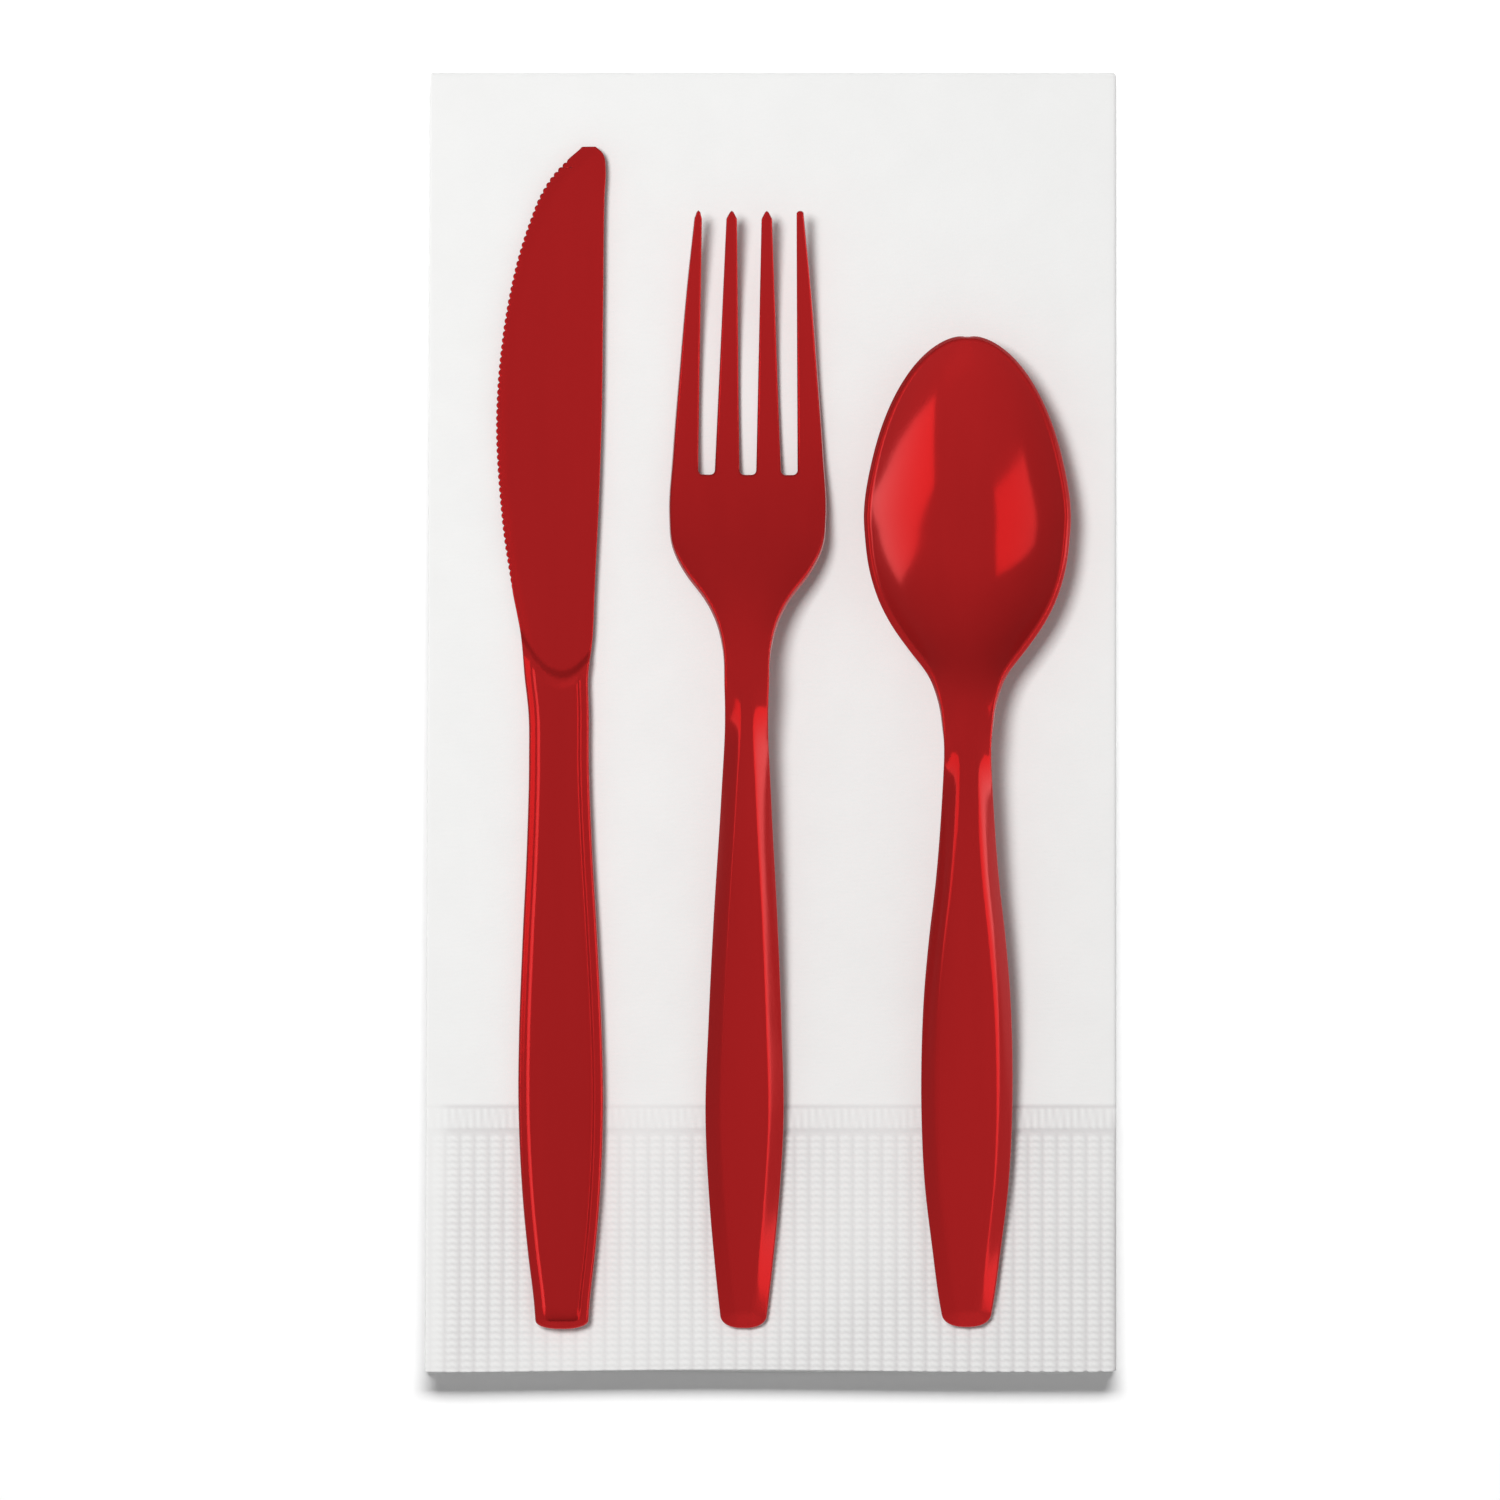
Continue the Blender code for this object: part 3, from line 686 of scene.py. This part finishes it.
def emboss(x, fromOpenEdge):
    # The pressed band over a place x across and a distance from the open edge, 0 in the
    # grooves to 1 on the bars: columns of short arched bars, a strip of leaning ticks above
    # them between two pressed lines. Also how far the place is inside the band.
    pitch = napkin["columnPitch"]
    cell = (x / pitch) % 1.0 - 0.5
    side = pitch * (0.5 - np.abs(cell))
    column = ease(side / napkin["groove"])
    arched = fromOpenEdge - napkin["barArch"] * np.cos(2 * np.pi * cell)
    bars = 0.5 + 0.5 * np.cos(2 * np.pi * arched / napkin["barPitch"])
    strip = napkin["band"] - napkin["tickStrip"]
    inBars = ease((strip - 0.5 - fromOpenEdge) / 0.4)
    upInStrip = fromOpenEdge - strip
    leaning = x + napkin["tickLean"] * upInStrip / napkin["tickStrip"]
    ticks = 0.5 + 0.5 * np.cos(2 * np.pi * leaning / napkin["tickPitch"])
    inTicks = ease(upInStrip / 0.4) * ease((napkin["tickStrip"] - 0.3 - upInStrip) / 0.4)
    inBand = ease((napkin["band"] + 0.4 - fromOpenEdge) / 0.6)
    height = (0.25 + 0.75 * bars) * column * inBars + (0.3 + 0.7 * ticks) * inTicks
    return height * inBand, inBand


def arcPoints(centreX, centreH, radius, start, stop, steps=8):
    # Even steps of turn, in degrees, round a centre: centre + radius * (cos a, sin a).
    turn = np.radians(np.linspace(start, stop, steps + 1))
    return np.column_stack([centreX + radius * np.cos(turn), centreH + radius * np.sin(turn)])


def makeNapkin(material):
    low, high = (np.array(corner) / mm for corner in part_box("napkin"))
    width, length = high[0] - low[0], high[1] - low[1]
    sheet, pitch = napkin["sheet"], napkin["sheet"] + napkin["gap"]
    left, right = low[0] + pitch / 2 + sheet / 2, high[0] - pitch - sheet / 2
    # The section of the three layers, then the route that bends them double.
    panelX = np.arange(left + 0.4, right - 0.4, napkin["columnPitch"] / 4)
    panel = np.column_stack([panelX, np.full(len(panelX), 2 * pitch)])
    flapX = np.linspace(0, 1, 6)[:, None]
    section = np.vstack([
        (right - napkin["edgeInset"], pitch) + flapX * (left - right + napkin["edgeInset"], 0),
        arcPoints(left, 1.5 * pitch, pitch / 2, 270, 90)[1:],
        panel,
        arcPoints(right, pitch, pitch, 90, -90),
        (right, 0) + flapX[1:] * (left - right + napkin["edgeInset"], 0)])
    middle = (low[2] + high[2]) / 2
    foldY, openY = high[1] - middle, low[1]
    band = napkin["band"]
    bandRows = openY + np.arange(0, band + 1.0, napkin["barPitch"] / 4)
    plainRows = np.linspace(openY + band + 3, foldY, 26)
    routeY = np.concatenate([np.linspace(openY, foldY, 8), np.full(9, foldY), plainRows[::-1],
                             bandRows[::-1]])
    turn = np.radians(np.concatenate([np.full(8, -90), np.linspace(-90, 90, 11)[1:-1],
                                      np.full(len(plainRows) + len(bandRows), 90)]))
    radius = pitch / 2 + section[:, 1]
    x = np.broadcast_to(section[:, 0], (len(routeY), len(section))).copy()
    y = routeY[:, None] + radius * np.cos(turn)[:, None]
    z = middle + radius * np.sin(turn)[:, None]
    # The three layers of the top half carry the pressing, and nest in each other.
    fromOpen = y - openY
    bars, inBand = emboss(x - panelX[0], fromOpen)
    strength = np.clip(0.8 + 0.35 * quietNoise(x / 9, y / 9, 5), 0.35, 1) * inBand
    strength = strength * (0.25 + 0.75 * ease((x - left - 1.0) / 3.2)) * (turn > 1.5)[:, None]
    # Painted shade: how much of the paper's greyer groove colour each place gets, strongest in the
    # grooves of the band.
    grooveShadeMask = strength * (1 - bars)
    z = z + strength * (napkin["embossHeight"] * bars - napkin["embossSink"])
    z = z + (turn > 1.5)[:, None] * napkin["wave"] * quietNoise(x / 30, y / 40, 8)
    # Hand-folded edges are never quite straight: the ends wander and the side narrows.
    y = y + 0.28 * quietNoise(x / 14, z * 2, 3) * ease((openY + 8 - y) / 8)
    x = x + 0.8 * ease((left + 25 - x) / 25) * (y - openY) / length
    points = np.stack([x, y, z], axis=-1)
    ids = np.arange(x.size).reshape(x.shape)
    piece = meshPiece("folded_napkin", points.reshape(-1, 3), gridQuads(ids), {"groove": grooveShadeMask})
    wall = piece.modifiers.new("paper", "SOLIDIFY")
    wall.thickness = sheet * mm
    wall.offset = 0.0
    wall.use_even_offset = True
    finishPiece(piece, material, "napkin_paper", "napkin")
    print("napkin", len(piece.data.polygons) * 2)
    return piece


# Studio: a white board under soft light, the camera straight above.

studio = {
    "frameWidth": 242.25,
    "aim": (-3.35, -4.6),
    "lens": 200.0, "sensor": 36.0,
    "skyNear": 0.36, "skyFar": 0.2,
}

# Each light's place and size in metres and its brightness. What it falls on keeps the board
# clean white, the paper's shadows soft and the plastic's highlights on their own.
studioLights = {
    "boardKey": {"place": (0.0, 1.02, 0.80), "size": (1.4, 0.35), "strength": 20.0,
                 "onto": "board", "gloss": False},
    "paperKey": {"place": (-0.27, 0.20, 1.07), "size": (0.30, 0.30), "strength": 32.0,
                 "onto": "paper", "gloss": False},
    "cutleryKey": {"place": (0.45, -1.45, 1.25), "size": (1.2, 0.6), "strength": 11.0,
                   "onto": "cutlery", "gloss": False},
    "cutleryTop": {"place": (0.0, 0.17, 0.40), "aim": (0.0, 0.15, 0.0), "size": (0.3, 0.2),
                   "strength": 3.4, "onto": "cutlery", "gloss": False},
    "rightSoftbox": {"place": (0.66, -0.04, 0.37), "size": (0.40, 0.70), "roll": 32.0,
                     "strength": 7.0, "onto": "cutlery", "diffuse": False},
    "leftSoftbox": {"place": (-0.50, 0.05, 0.56), "size": (0.30, 0.52), "roll": 20.0,
                    "strength": 6.3, "onto": "cutlery", "diffuse": False},
}


def areaLight(name, settings, receivers):
    # Strength is the light's own brightness, so its watts follow from its area: W = pi * A * L.
    width, depth = settings["size"]
    data = bpy.data.lights.new(name, "AREA")
    data.shape = "RECTANGLE"
    data.size, data.size_y = width, depth
    data.energy = math.pi * width * depth * settings["strength"]
    light = bpy.data.objects.new(name, data)
    place, aim = Vector(settings["place"]), Vector(settings.get("aim", (0, 0, 0)))
    roll = Quaternion((0, 0, 1), math.radians(settings.get("roll", 0.0)))
    light.location = place
    light.rotation_euler = ((aim - place).to_track_quat("-Z", "Y") @ roll).to_euler()
    light.visible_diffuse = settings.get("diffuse", True)
    light.visible_glossy = settings.get("gloss", True)
    light.visible_camera = False
    light.light_linking.receiver_collection = receivers[settings["onto"]]
    bpy.context.scene.collection.objects.link(light)


def makeBoard():
    size = 6.0
    mesh = bpy.data.meshes.new("board")
    mesh.from_pydata([(-size, -size, 0), (size, -size, 0), (size, size, 0), (-size, size, 0)],
                     [], [(0, 1, 2, 3)])
    board = bpy.data.objects.new("board", mesh)
    board.location.z = cadBox[0][2] - 0.3 * mm
    material, tree, shader = newMaterial("matt_white_board")
    shader.inputs["Base Color"].default_value = fromHex("#FAFAFA")
    shader.inputs["Roughness"].default_value = 1.0
    shader.inputs["Specular IOR Level"].default_value = 0.0
    mesh.materials.append(material)
    bpy.context.scene.collection.objects.link(board)
    return board


def makeSky():
    # An even pale surround that falls off towards +Y.
    world = bpy.data.worlds.new("studio")
    world.use_nodes = True
    tree = world.node_tree
    direction = addNode(tree, "ShaderNodeTexCoord").outputs["Generated"]
    along = addNode(tree, "ShaderNodeSeparateXYZ", (), {0: direction}).outputs["Y"]
    sky = addNode(tree, "ShaderNodeMapRange", {
        1: -0.8, 2: 0.8, 3: studio["skyNear"], 4: studio["skyFar"]}, {0: along}).outputs[0]
    background = tree.nodes["Background"]
    background.inputs["Color"].default_value = (1, 1, 1, 1)
    tree.links.new(sky, background.inputs["Strength"])
    bpy.context.scene.world = world


def makeCamera():
    data = bpy.data.cameras.new("camera")
    data.lens, data.sensor_width = studio["lens"], studio["sensor"]
    data.clip_end = 50.0
    camera = bpy.data.objects.new("camera", data)
    distance = studio["frameWidth"] * mm * studio["lens"] / studio["sensor"]
    camera.location = (studio["aim"][0] * mm, studio["aim"][1] * mm, distance)
    bpy.context.scene.collection.objects.link(camera)
    bpy.context.scene.camera = camera
    bpy.context.scene.view_settings.view_transform = "Standard"


def makeStudio(pieces):
    makeSky()
    pieces["board"] = [makeBoard()]
    receivers = {}
    for name, objects in pieces.items():
        receivers[name] = bpy.data.collections.new("light_on_" + name)
        for item in objects:
            receivers[name].objects.link(item)
    for name, settings in studioLights.items():
        areaLight(name, settings, receivers)


makeCamera()
red = mouldedPolystyrene()
cutlery = [makeKnife(red), makeFork(red), makeSpoon(red)]
paper = [makeNapkin(tissuePaper())]
makeStudio({"cutlery": cutlery, "paper": paper})
print("studio")
